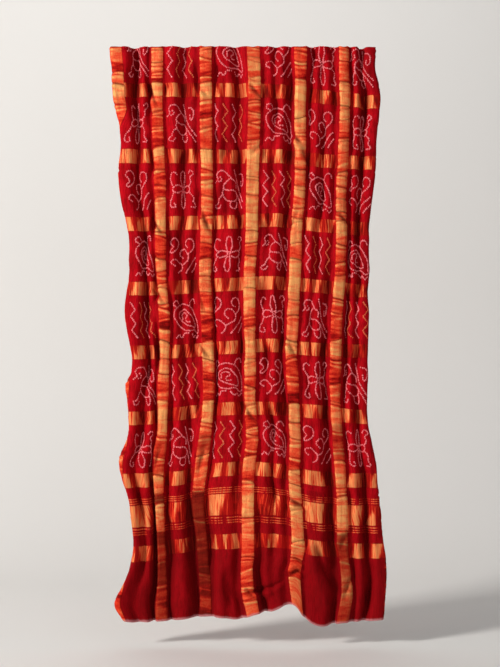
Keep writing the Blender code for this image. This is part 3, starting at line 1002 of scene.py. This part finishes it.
def dot_tree():
    """Geometry nodes: dots set along flat lines, lifted onto the hanging cloth."""
    tree = bpy.data.node_groups.new("dots_on_cloth", "GeometryNodeTree")
    for name, kind in (
        ("Lines", "NodeSocketGeometry"), ("Cloth", "NodeSocketObject"),
        ("Dot", "NodeSocketObject"), ("Spacing", "NodeSocketFloat"),
        ("Lift", "NodeSocketFloat"), ("Dye", "NodeSocketMaterial"), ("Seed", "NodeSocketInt"),
    ):
        tree.interface.new_socket(name, in_out="INPUT", socket_type=kind)
    tree.interface.new_socket("Dots", in_out="OUTPUT", socket_type="NodeSocketGeometry")
    node = tree.nodes.new
    link = tree.links.new
    given = node("NodeGroupInput").outputs
    # dots along the lines, in flat cloth measure, each a little astray
    points = node("GeometryNodeCurveToPoints")
    points.mode = "LENGTH"
    link(given["Lines"], points.inputs["Curve"])
    link(given["Spacing"], points.inputs["Length"])
    stray = node("FunctionNodeRandomValue")
    stray.data_type = "FLOAT_VECTOR"
    stray.inputs[0].default_value = (-DOT_STRAY, -DOT_STRAY, 0.0)
    stray.inputs[1].default_value = (DOT_STRAY, DOT_STRAY, 0.0)
    link(given["Seed"], {s.identifier: s for s in stray.inputs}["Seed"])
    shift = node("GeometryNodeSetPosition")
    link(points.outputs["Points"], shift.inputs["Geometry"])
    link(stray.outputs[0], shift.inputs["Offset"])
    position = node("GeometryNodeInputPosition").outputs[0]
    flat = keep_vector(tree, "flat_place", shift.outputs["Geometry"], position)
    # the same places on the hanging cloth, and the way it faces there
    cloth = node("GeometryNodeObjectInfo")
    link(given["Cloth"], cloth.inputs["Object"])
    samples = []
    for value in ("GeometryNodeInputPosition", "GeometryNodeInputNormal"):
        sample = node("GeometryNodeSampleUVSurface")
        sample.data_type = "FLOAT_VECTOR"
        link(cloth.outputs["Geometry"], sample.inputs["Mesh"])
        link(node(value).outputs[0], sample.inputs["Value"])
        link(kept_vector(tree, "flat_cloth"), sample.inputs["UV Map"])
        link(kept_vector(tree, "flat_place"), sample.inputs["Sample UV"])
        samples.append(sample)
    hung, facing = (sample.outputs["Value"] for sample in samples)
    lift = node("ShaderNodeVectorMath")
    lift.operation = "SCALE"
    link(facing, lift.inputs["Vector"])
    link(given["Lift"], lift.inputs["Scale"])
    raised = node("ShaderNodeVectorMath")
    raised.operation = "ADD"
    link(hung, raised.inputs[0])
    link(lift.outputs["Vector"], raised.inputs[1])
    # only the dots that fall on the cloth, lifted onto it
    on_cloth = node("GeometryNodeSeparateGeometry")
    on_cloth.domain = "POINT"
    link(flat, on_cloth.inputs["Geometry"])
    link(samples[0].outputs["Is Valid"], on_cloth.inputs["Selection"])
    upright = keep_vector(tree, "cloth_normal", on_cloth.outputs["Selection"], facing)
    move = node("GeometryNodeSetPosition")
    link(upright, move.inputs["Geometry"])
    link(raised.outputs["Vector"], move.inputs["Position"])
    align = node("FunctionNodeAlignRotationToVector")
    align.axis = "Z"
    link(kept_vector(tree, "cloth_normal"), align.inputs["Vector"])
    size = node("FunctionNodeRandomValue")
    size.data_type = "FLOAT"
    number_sockets = {socket.identifier: socket for socket in size.inputs}
    number_sockets["Min_001"].default_value = SMALLEST_DOT
    number_sockets["Max_001"].default_value = LARGEST_DOT
    link(given["Seed"], number_sockets["Seed"])
    # the dots themselves, made real and dyed
    dot = node("GeometryNodeObjectInfo")
    link(given["Dot"], dot.inputs["Object"])
    spread = node("GeometryNodeInstanceOnPoints")
    link(move.outputs["Geometry"], spread.inputs["Points"])
    link(dot.outputs["Geometry"], spread.inputs["Instance"])
    link(align.outputs["Rotation"], spread.inputs["Rotation"])
    link({s.identifier: s for s in size.outputs}["Value_001"], spread.inputs["Scale"])
    real = node("GeometryNodeRealizeInstances")
    link(spread.outputs["Instances"], real.inputs["Geometry"])
    dye = node("GeometryNodeSetMaterial")
    link(real.outputs["Geometry"], dye.inputs["Geometry"])
    link(given["Dye"], dye.inputs["Material"])
    link(dye.outputs["Geometry"], node("NodeGroupOutput").inputs[0])
    return tree


def set_dots(name, tint, tree, cloth, dot, dye):
    """The dots of one dye, made once from the motif lines into a plain mesh."""
    lines = motif_curves(name + "_lines", tint)
    modifier = lines.modifiers.new("dots", "NODES")
    modifier.node_group = tree
    values = {
        "Cloth": cloth, "Dot": dot, "Spacing": DOT_SPACING, "Lift": DOT_LIFT, "Dye": dye,
        "Seed": 5 + tint,
    }
    for item in tree.interface.items_tree:
        if item.in_out == "INPUT" and item.name in values:
            modifier[item.identifier] = values[item.name]
    bpy.context.view_layer.update()
    graph = bpy.context.evaluated_depsgraph_get()
    mesh = bpy.data.meshes.new_from_object(lines.evaluated_get(graph), depsgraph=graph)
    mesh.name = name
    for left_over in ("flat_place", "cloth_normal"):
        if left_over in mesh.attributes:
            mesh.attributes.remove(mesh.attributes[left_over])
    bpy.data.objects.remove(lines, do_unlink=True)
    return new_object(name, mesh)


# ---- materials ----------------------------------------------------------------------------------


class Nodes:
    """Short calls for making and joining the nodes of one tree."""

    def __init__(self, tree):
        self.tree = tree

    def new(self, kind, **settings):
        node = self.tree.nodes.new(kind)
        for name, value in settings.items():
            setattr(node, name, value)
        return node

    def feed(self, socket, value):
        if isinstance(value, bpy.types.NodeSocket):
            self.tree.links.new(value, socket)
        else:
            socket.default_value = value

    def math(self, operation, first, second=0.0, third=0.0):
        node = self.new("ShaderNodeMath", operation=operation)
        for socket, value in zip(node.inputs, (first, second, third)):
            self.feed(socket, value)
        return node.outputs[0]

    def times(self, first, second):
        return self.math("MULTIPLY", first, second)

    def add(self, base, value, share):
        """The base, with a share of the value added to it."""
        return self.math("MULTIPLY_ADD", value, share, base)

    def step(self, low, high, value):
        node = self.new("ShaderNodeMapRange", interpolation_type="SMOOTHSTEP")
        self.feed(node.inputs["Value"], value)
        self.feed(node.inputs["From Min"], low)
        self.feed(node.inputs["From Max"], high)
        return node.outputs["Result"]

    def spread(self, low, high, value):
        """The value stretched from -1 at the low end to 1 at the high end."""
        return self.add(-1.0, self.step(low, high, value), 2.0)

    def blend(self, share, first, second):
        node = self.new("ShaderNodeMix", data_type="FLOAT")
        sockets = {socket.identifier: socket for socket in node.inputs}
        self.feed(sockets["Factor_Float"], share)
        self.feed(sockets["A_Float"], first)
        self.feed(sockets["B_Float"], second)
        return {socket.identifier: socket for socket in node.outputs}["Result_Float"]

    def noise(self, vector, scale, detail=2.0, roughness=0.5):
        node = self.new("ShaderNodeTexNoise")
        self.feed(node.inputs["Vector"], vector)
        self.feed(node.inputs["Scale"], scale)
        self.feed(node.inputs["Detail"], detail)
        self.feed(node.inputs["Roughness"], roughness)
        return node.outputs["Fac"]

    def grain(self, flat, grain):
        """Noise with cells that are longer one way than the other, in flat cloth measure."""
        node = self.new("ShaderNodeVectorMath", operation="MULTIPLY")
        self.feed(node.inputs[0], flat)
        self.feed(node.inputs[1], (grain.across, grain.down, 1.0))
        return self.noise(node.outputs["Vector"], 1.0, grain.detail, grain.roughness)

    def mix(self, share, first, second):
        node = self.new("ShaderNodeMix", data_type="RGBA")
        sockets = {socket.identifier: socket for socket in node.inputs}
        self.feed(sockets["Factor_Float"], share)
        self.feed(sockets["A_Color"], first)
        self.feed(sockets["B_Color"], second)
        return {socket.identifier: socket for socket in node.outputs}["Result_Color"]

    def ramp(self, value, stops):
        node = self.new("ShaderNodeValToRGB")
        self.feed(node.inputs["Fac"], value)
        elements = node.color_ramp.elements
        while len(elements) < len(stops):
            elements.new(0.5)
        for element, (place, colour) in zip(elements, stops):
            element.position = place
            element.color = colour
        return node.outputs["Color"]


def shader_group(name, inputs, outputs):
    """An empty shader node group with named inputs and outputs, and its two end nodes."""
    tree = bpy.data.node_groups.new(name, "ShaderNodeTree")
    for label, kind in inputs:
        tree.interface.new_socket(label, in_out="INPUT", socket_type=kind)
    for label, kind in outputs:
        tree.interface.new_socket(label, in_out="OUTPUT", socket_type=kind)
    nodes = Nodes(tree)
    return tree, nodes, nodes.new("NodeGroupInput").outputs, nodes.new("NodeGroupOutput").inputs


def gold_grid_group():
    """Masks for the woven gold: the upright stripes, the bands and the pinstripes."""
    tree, n, given, out = shader_group(
        "gold_grid",
        [("Flat", "NodeSocketVector")],
        [("Stripe", "NodeSocketFloat"), ("Band", "NodeSocketFloat"), ("Pin", "NodeSocketFloat")],
    )
    split = n.new("ShaderNodeSeparateXYZ")
    n.feed(split.inputs[0], given["Flat"])
    waver = n.add(-0.0008, n.noise(given["Flat"], 140.0), 0.0016)
    across = n.math("ADD", split.outputs["X"], waver)
    down = n.math("ADD", split.outputs["Y"], waver)
    edge = 0.0009
    from_stripe = n.math("PINGPONG", n.math("SUBTRACT", across, SELVEDGE), STRIPE_PITCH / 2)
    stripe = n.step(STRIPE_WIDTH / 2 + edge, STRIPE_WIDTH / 2 - edge, from_stripe)
    from_band = n.math("PINGPONG", n.math("SUBTRACT", down, FIRST_BAND), BAND_PITCH / 2)
    band = n.step(BAND_HEIGHT / 2 + edge, BAND_HEIGHT / 2 - edge, from_band)
    last = FIRST_BAND + BAND_PITCH * (BAND_COUNT - 0.5)
    band = n.times(band, n.step(last + edge, last - edge, down))
    band = n.times(band, n.step(-edge, edge, down))
    from_border = n.math("ABSOLUTE", n.math("SUBTRACT", down, BORDER_MIDDLE))
    border = n.step(BORDER_HEIGHT / 2 + edge, BORDER_HEIGHT / 2 - edge, from_border)
    pin = 0.0
    for place in PINSTRIPES:
        away = n.math("ABSOLUTE", n.math("SUBTRACT", down, BORDER_MIDDLE + place))
        half = PINSTRIPE_HEIGHT / 2
        pin = n.math("MAXIMUM", n.step(half + 0.0005, half - 0.0005, away), pin)
    n.feed(out["Stripe"], stripe)
    n.feed(out["Band"], n.math("MAXIMUM", band, border))
    n.feed(out["Pin"], pin)
    return tree


def crepe_group():
    """The crinkle of crepe silk and its threads, as one height."""
    tree, n, given, out = shader_group(
        "crepe_weave",
        [("Flat", "NodeSocketVector")],
        [("Crinkle", "NodeSocketFloat"), ("Threads", "NodeSocketFloat")],
    )
    long_folds = n.grain(given["Flat"], LONG_FOLDS)
    short_folds = n.grain(given["Flat"], SHORT_FOLDS)
    n.feed(out["Crinkle"], n.add(long_folds, short_folds, 0.35))
    threads = []
    for direction in ("X", "Y"):
        wave = n.new("ShaderNodeTexWave", bands_direction=direction)
        n.feed(wave.inputs["Vector"], given["Flat"])
        n.feed(wave.inputs["Scale"], 260.0)
        n.feed(wave.inputs["Distortion"], 1.2)
        n.feed(wave.inputs["Detail"], 1.0)
        threads.append(wave.outputs["Fac"])
    n.feed(out["Threads"], n.times(threads[0], threads[1]))
    return tree


def attribute(n, name):
    """A number kept on the mesh."""
    return n.new("ShaderNodeAttribute", attribute_name=name).outputs["Fac"]


def new_material(name):
    """A new material, its nodes and its shader."""
    material = bpy.data.materials.new(name)
    material.use_nodes = True
    return material, Nodes(material.node_tree), material.node_tree.nodes["Principled BSDF"]


def silk_colour(n, flat, down, patches, hollow):
    """Red silk: patched, with painted shade in thin upright crinkle streaks and in the hollows,
    and darker at the plain end.
    """
    silk = n.ramp(patches, SILK_REDS)
    silk = n.mix(n.times(n.step(0.98, 1.32, down), 0.72), silk, PLAIN_END_RED)
    # painted shade: thin dark upright streaks standing in for the silk's fine crinkle folds
    crinkle_shade = n.times(n.step(0.54, 0.36, n.grain(flat, CRINKLE_SHADE_GRAIN)), 0.55)
    silk = n.mix(crinkle_shade, silk, CRINKLE_SHADE_RED)
    # painted shade in the folds
    return n.mix(n.times(hollow, 0.60), silk, PAINTED_SHADE_RED)


def stripe_tones(n, flat, crumple):
    """How pale the gold of the stripes is, from the tones kept on the sheet."""
    tone = n.math("MINIMUM", n.add(-0.33, attribute(n, "stripe_tone"), 1.30), 0.84)
    tone = n.add(tone, n.spread(0.30, 0.70, crumple), 0.16)
    tone = n.add(tone, n.spread(0.30, 0.70, n.grain(flat, FINE_ACROSS)), 0.05)
    return n.add(tone, n.spread(0.30, 0.70, n.grain(flat, FLECKS)), 0.06)


def band_tones(n, flat, fine_down, pin, hollow, rear):
    """How pale the gold of the bands and the pinstripes is: painted highlights where it catches
    the light, and painted shade in the hollows.
    """
    fine = n.spread(0.32, 0.68, fine_down)
    finer = n.spread(0.32, 0.68, n.grain(flat, FINER_DOWN))
    glint = n.times(attribute(n, "glint"), 0.66)
    lit = n.add(n.add(glint, fine, 0.26), finer, 0.12)
    lit = n.blend(rear, lit, n.times(n.step(0.5, 0.2, hollow), 0.7))
    tone = n.add(0.18, n.step(0.02, 0.36, lit), 0.27)
    tone = n.add(tone, n.step(0.38, 0.58, lit), 0.40)
    tone = n.add(tone, n.times(finer, n.math("ADD", glint, 0.20)), 0.14)
    # painted shade lowers the gold's tone in the hollows
    tone = n.add(tone, hollow, -0.26)
    pin_tone = n.add(0.62, n.spread(0.34, 0.66, fine_down), 0.20)
    return n.blend(pin, tone, n.add(pin_tone, hollow, -0.40))


def gold_colour(n, tone, crease, hollow, rear):
    """The woven gold, with painted shade in its creases, in the hollows and on the shaded stripes.
    """
    # painted shade: the creases, the hollows and the shaded stripes darken the gold
    dark = n.times(n.step(0.10, 1.00, crease), 0.86)
    dark = n.math("MAXIMUM", dark, n.times(hollow, 0.46))
    shade = n.times(attribute(n, "shade"), n.math("SUBTRACT", 1.0, rear))
    dark = n.math("MAXIMUM", dark, n.times(shade, 0.88))
    return n.mix(dark, n.ramp(tone, WOVEN_GOLDS), PAINTED_SHADE_GOLD)


def cloth_material(grid_group, weave_group):
    """Red crepe silk with gold woven into it."""
    material, n, shader = new_material("red_silk_and_gold")
    flat = n.new("ShaderNodeUVMap", uv_map="flat_cloth").outputs["UV"]
    grid = n.new("ShaderNodeGroup", node_tree=grid_group)
    n.feed(grid.inputs["Flat"], flat)
    weave = n.new("ShaderNodeGroup", node_tree=weave_group)
    n.feed(weave.inputs["Flat"], flat)
    split = n.new("ShaderNodeSeparateXYZ")
    n.feed(split.inputs[0], flat)
    rear = n.new("ShaderNodeNewGeometry").outputs["Backfacing"]
    crease = attribute(n, "crease")
    # painted shade of the folds; seen from the back, the front's crests are painted as the hollows
    hollow = n.blend(rear, attribute(n, "hollow"), attribute(n, "crest"))
    worn = n.grain(flat, WEAR)
    patches = n.grain(flat, PATCHES)
    crumple = n.grain(flat, CRUMPLES)
    fine_down = n.grain(flat, FINE_DOWN)

    stripe = grid.outputs["Stripe"]
    pin = n.times(grid.outputs["Pin"], n.step(0.36, 0.50, worn))
    band = n.math("MAXIMUM", grid.outputs["Band"], pin)
    gold = n.math("MAXIMUM", stripe, band)
    on_band = band_tones(n, flat, fine_down, pin, hollow, rear)
    tone = n.blend(stripe, on_band, stripe_tones(n, flat, crumple))
    tone = n.add(tone, n.times(stripe, band), 0.10)
    silk = silk_colour(n, flat, split.outputs["Y"], patches, hollow)
    colour = n.mix(gold, silk, gold_colour(n, tone, crease, hollow, rear))
    frayed = n.add(0.001, worn, 0.010)
    hem = n.math("SUBTRACT", 1.0, n.step(0.0, frayed, attribute(n, "to_hem")))
    colour = n.mix(n.times(hem, 0.70), colour, HEM_PINK)
    n.feed(shader.inputs["Base Color"], colour)
    shine = n.times(gold, n.step(0.30, 0.80, tone))
    n.feed(shader.inputs["Metallic"], n.times(shine, 0.40))
    n.feed(shader.inputs["Roughness"], n.add(n.add(0.66, shine, -0.24), patches, 0.12))
    shader.inputs["Specular IOR Level"].default_value = 0.10
    shader.inputs["Specular Tint"].default_value = (1.0, 0.45, 0.40, 1.0)
    shader.inputs["Sheen Weight"].default_value = 0.05
    shader.inputs["Sheen Roughness"].default_value = 0.4
    shader.inputs["Sheen Tint"].default_value = (1.0, 0.12, 0.12, 1.0)

    height = n.times(weave.outputs["Crinkle"], 0.0015)
    height = n.add(height, weave.outputs["Threads"], 0.00018)
    height = n.add(height, crease, -0.0010)
    height = n.add(height, n.times(stripe, crumple), 0.0016)
    height = n.math("ADD", height, n.times(n.times(fine_down, band), 0.0008))
    height = n.add(height, gold, 0.0003)
    bump = n.new("ShaderNodeBump")
    bump.inputs["Strength"].default_value = 0.9
    bump.inputs["Distance"].default_value = 1.0
    n.feed(bump.inputs["Height"], height)
    n.feed(shader.inputs["Normal"], bump.outputs["Normal"])
    return material


def dot_material(name, rim, middle):
    """Undyed silk left by a tied thread, with a fleck of the dye in its middle."""
    material, n, shader = new_material(name)
    place = n.new("ShaderNodeTexCoord").outputs["Object"]
    from_middle = attribute(n, "from_middle")
    speckle = n.noise(place, 900.0)
    cloudy = n.noise(place, 35.0)
    reach = n.add(from_middle, n.math("SUBTRACT", speckle, 0.5), 0.4)
    colour = n.mix(n.step(0.05, 0.42, reach), middle, rim)
    colour = n.mix(n.times(n.step(0.35, 0.70, cloudy), 0.30), colour, middle)
    colour = n.mix(n.times(n.step(0.80, 1.0, reach), 0.5), colour, middle)
    n.feed(shader.inputs["Base Color"], colour)
    n.feed(shader.inputs["Roughness"], n.add(0.55, speckle, 0.2))
    shader.inputs["Specular IOR Level"].default_value = 0.15
    return material


def plain_material(name, colour, roughness):
    """An even matt finish for what stands round the cloth."""
    material, _, shader = new_material(name)
    shader.inputs["Base Color"].default_value = colour
    shader.inputs["Roughness"].default_value = roughness
    return material


# ---- the pieces ---------------------------------------------------------------------------------


def cloth_pieces():
    """The sheet and its two sorts of dots."""
    sheet = new_object("bandhani_silk", sheet_mesh())
    sheet.data.materials.append(cloth_material(gold_grid_group(), crepe_group()))
    dot = new_object("tied_dot", dot_mesh())
    tree = dot_tree()
    pale = dot_material("undyed_dots", UNDYED, UNDYED_MIDDLE)
    orange = dot_material("orange_dots", ORANGE, ORANGE_MIDDLE)
    pale_dots = set_dots("pale_dots", 0, tree, sheet, dot, pale)
    orange_dots = set_dots("orange_dots", 1, tree, sheet, dot, orange)
    bpy.data.objects.remove(dot, do_unlink=True)
    return sheet, pale_dots, orange_dots


# ---- stage, light and camera --------------------------------------------------------------------

FLOOR_LEVEL = -1.47
STAGE_HALF_WIDTH = 5.0
STAGE_FRONT = -3.4
STAGE_BACK = 1.9
STAGE_TOP = 3.2
STAGE_BEND = 0.9
STAGE_BEND_STEPS = 12
CLOTH_MIDDLE = (0.0, 0.0, -0.70)
AIR_LIGHT = (0.14, 0.14, 0.145, 1.0)
AIR_SEEN = (0.72, 0.72, 0.71, 1.0)
WHITE = (1.0, 1.0, 1.0)

# Lights: where each one stands and aims, its width in metres and its power in watts
Light = namedtuple("Light", "name place aim size power colour")
LIGHTS = (
    Light("key_light", (-4.3, -3.4, 1.5), CLOTH_MIDDLE, 1.1, 326.0, (1.0, 0.97, 0.93)),
    Light("front_fill", (1.4, -3.4, -0.3), CLOTH_MIDDLE, 2.0, 16.0, WHITE),
    Light("backdrop_light", (0.0, 0.35, 1.5), (0.0, 1.9, -0.8), 1.6, 10.0, WHITE),
    Light("back_light", (1.9, 2.8, 0.9), CLOTH_MIDDLE, 1.2, 60.0, WHITE),
)

# Camera
LENS = 85.0
SENSOR_WIDTH = 36.0
VIEW_HEIGHT = 1.634
CAMERA_ACROSS = 0.007
CAMERA_LEVEL = -0.702
CLOTH_FRONT = 0.006


def stage_sweep():
    """A pale floor that bends up into a backdrop, seen only from the front."""
    profile = [(STAGE_FRONT, FLOOR_LEVEL)]
    for step in range(STAGE_BEND_STEPS + 1):
        angle = step / STAGE_BEND_STEPS * math.pi / 2
        profile.append((
            STAGE_BACK - STAGE_BEND + STAGE_BEND * math.sin(angle),
            FLOOR_LEVEL + STAGE_BEND - STAGE_BEND * math.cos(angle),
        ))
    profile.append((STAGE_BACK, STAGE_TOP))
    points = [(side, y, z) for y, z in profile for side in (-STAGE_HALF_WIDTH, STAGE_HALF_WIDTH)]
    faces = [(2 * k, 2 * k + 1, 2 * k + 3, 2 * k + 2) for k in range(len(profile) - 1)]
    mesh = bpy.data.meshes.new("studio_floor")
    mesh.from_pydata(points, [], faces)
    mesh.shade_smooth()
    floor = new_object("studio_floor", mesh)
    material = plain_material("pale_floor", (0.80, 0.79, 0.77, 1.0), 0.9)
    tree = material.node_tree
    clear = tree.nodes.new("ShaderNodeBsdfTransparent")
    side = tree.nodes.new("ShaderNodeNewGeometry")
    choose = tree.nodes.new("ShaderNodeMixShader")
    tree.links.new(side.outputs["Backfacing"], choose.inputs["Fac"])
    tree.links.new(tree.nodes["Principled BSDF"].outputs[0], choose.inputs[1])
    tree.links.new(clear.outputs[0], choose.inputs[2])
    tree.links.new(choose.outputs[0], tree.nodes["Material Output"].inputs["Surface"])
    mesh.materials.append(material)


def area_light(row):
    """A square soft light that doesn't show itself."""
    light = bpy.data.lights.new(row.name, "AREA")
    light.shape = "SQUARE"
    light.size = row.size
    light.energy = row.power
    light.color = row.colour
    lamp = new_object(row.name, light)
    lamp.location = row.place
    lamp.rotation_mode = "QUATERNION"
    lamp.rotation_quaternion = (Vector(row.aim) - Vector(row.place)).to_track_quat("-Z", "Y")
    lamp.visible_camera = False


def light_studio():
    """The table's lights, and a low even light all round that looks pale where it is seen."""
    for row in LIGHTS:
        area_light(row)
    world = bpy.data.worlds.new("studio")
    bpy.context.scene.world = world
    world.use_nodes = True
    n = Nodes(world.node_tree)
    seen = n.new("ShaderNodeLightPath").outputs["Is Camera Ray"]
    background = world.node_tree.nodes["Background"]
    n.feed(background.inputs["Color"], n.mix(seen, AIR_LIGHT, AIR_SEEN))
    background.inputs["Strength"].default_value = 1.0


def place_camera():
    """Face on to the cloth and level with its middle, through a long lens."""
    data = bpy.data.cameras.new("camera")
    data.lens = LENS
    data.sensor_width = SENSOR_WIDTH
    distance = LENS * VIEW_HEIGHT / SENSOR_WIDTH
    camera = new_object("camera", data)
    camera.location = (CAMERA_ACROSS, CLOTH_FRONT - distance, CAMERA_LEVEL)
    camera.rotation_euler = (math.pi / 2, 0.0, 0.0)
    bpy.context.scene.camera = camera


place_camera()
stage_sweep()
light_studio()
bpy.context.scene.view_settings.view_transform = "Standard"

silk, pale, orange = cloth_pieces()
for piece in (silk, pale, orange):
    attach(piece, "root")
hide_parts("bandhani_sheet")
